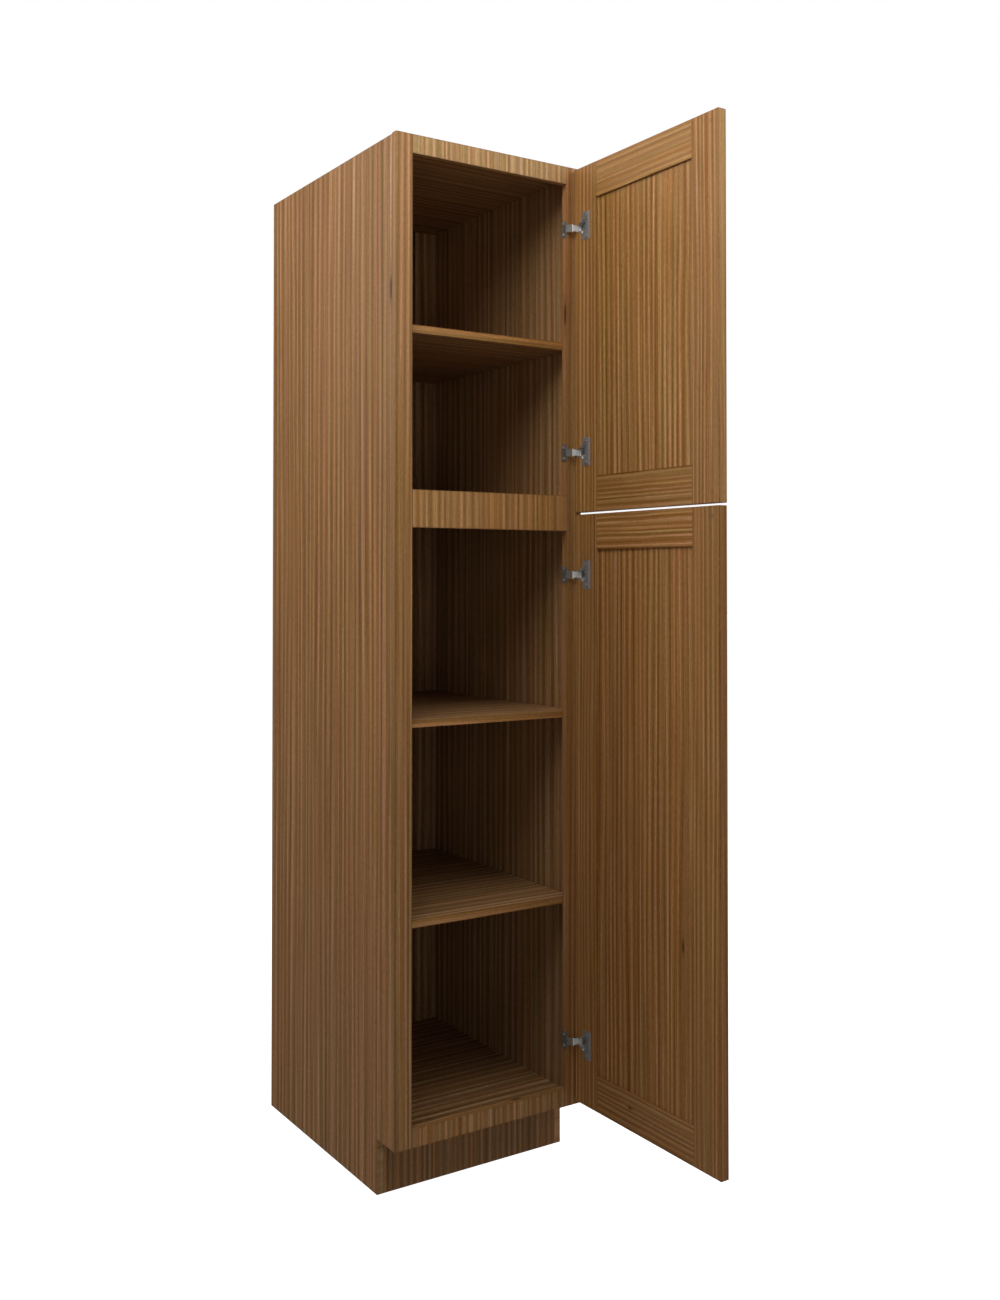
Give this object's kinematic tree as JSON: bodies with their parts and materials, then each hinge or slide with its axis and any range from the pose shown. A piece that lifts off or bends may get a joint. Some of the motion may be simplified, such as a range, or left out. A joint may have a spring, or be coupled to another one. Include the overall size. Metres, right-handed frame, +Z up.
{
  "type": "pantry cabinet",
  "caption": "Tall narrow pantry cabinet with a face frame, shelves, a recessed toe-kick and stacked frame-and-panel doors standing open on compact hinges.",
  "frame": {"origin": "middle of the back at floor level: the back panel's rear face is the plane Y = 0 and the floor is Z = 0", "axes": "+Z up, +Y out of the back towards the wall, +X to the right seen from the front; the face frame faces -Y and the open doors reach further along -Y"},
  "size_m": [0.457, 1.0682, 2.134],
  "materials": {
    "veneered_panel": "satin lacquered striped veneer",
    "frame_wood": "satin lacquered striped hardwood",
    "raw_wood": "sawn",
    "hinge_steel": "nickel-plated stamped steel",
    "fastener_steel": "zinc-plated",
    "spring_steel": "oiled",
    "bumper": "soft translucent"
  },
  "bodies": {
    "case": {"left_side_panel": "veneered_panel", "right_side_panel": "veneered_panel", "top_panel": "veneered_panel", "middle_deck": "veneered_panel", "bottom_deck": "veneered_panel", "back_panel": "veneered_panel", "back_panel_screws": "fastener_steel", "toe_kick_board": "veneered_panel", "plinth_corner_blocks": "raw_wood", "left_stile": "frame_wood", "right_stile": "frame_wood", "top_rail": "frame_wood", "middle_rail": "frame_wood", "bottom_rail": "frame_wood", "frame_dowels": "raw_wood", "upper_shelf": "veneered_panel", "middle_shelf": "veneered_panel", "lower_shelf": "veneered_panel", "shelf_edge_bands": "frame_wood", "shelf_pins": "fastener_steel", "frame_hinge_screws": "fastener_steel", "upper_door_top_hinge_arm": "hinge_steel", "upper_door_bottom_hinge_arm": "hinge_steel", "lower_door_top_hinge_arm": "hinge_steel", "lower_door_bottom_hinge_arm": "hinge_steel"},
    "upper_door": {"upper_door_hinge_stile": "frame_wood", "upper_door_free_stile": "frame_wood", "upper_door_top_rail": "frame_wood", "upper_door_bottom_rail": "frame_wood", "upper_door_panel": "veneered_panel", "upper_door_bumpers": "bumper", "upper_door_hinge_screws": "fastener_steel", "upper_door_top_hinge_cup": "hinge_steel", "upper_door_top_hinge_pin": "fastener_steel", "upper_door_top_hinge_spring": "spring_steel", "upper_door_bottom_hinge_cup": "hinge_steel", "upper_door_bottom_hinge_pin": "fastener_steel", "upper_door_bottom_hinge_spring": "spring_steel"},
    "lower_door": {"lower_door_hinge_stile": "frame_wood", "lower_door_free_stile": "frame_wood", "lower_door_top_rail": "frame_wood", "lower_door_bottom_rail": "frame_wood", "lower_door_panel": "veneered_panel", "lower_door_bumpers": "bumper", "lower_door_hinge_screws": "fastener_steel", "lower_door_top_hinge_cup": "hinge_steel", "lower_door_top_hinge_pin": "fastener_steel", "lower_door_top_hinge_spring": "spring_steel", "lower_door_bottom_hinge_cup": "hinge_steel", "lower_door_bottom_hinge_pin": "fastener_steel", "lower_door_bottom_hinge_spring": "spring_steel"}
  },
  "joints": [
    {"name": "upper_door_hinge", "type": "hinge", "parent": "case", "child": "upper_door", "pos_m": [0.219, -0.6227, 1.756], "axis": [0, 0, 1], "range_deg": [-90, 15]},
    {"name": "lower_door_hinge", "type": "hinge", "parent": "case", "child": "lower_door", "pos_m": [0.219, -0.6227, 0.7505], "axis": [0, 0, 1], "range_deg": [-90, 15]}
  ]
}
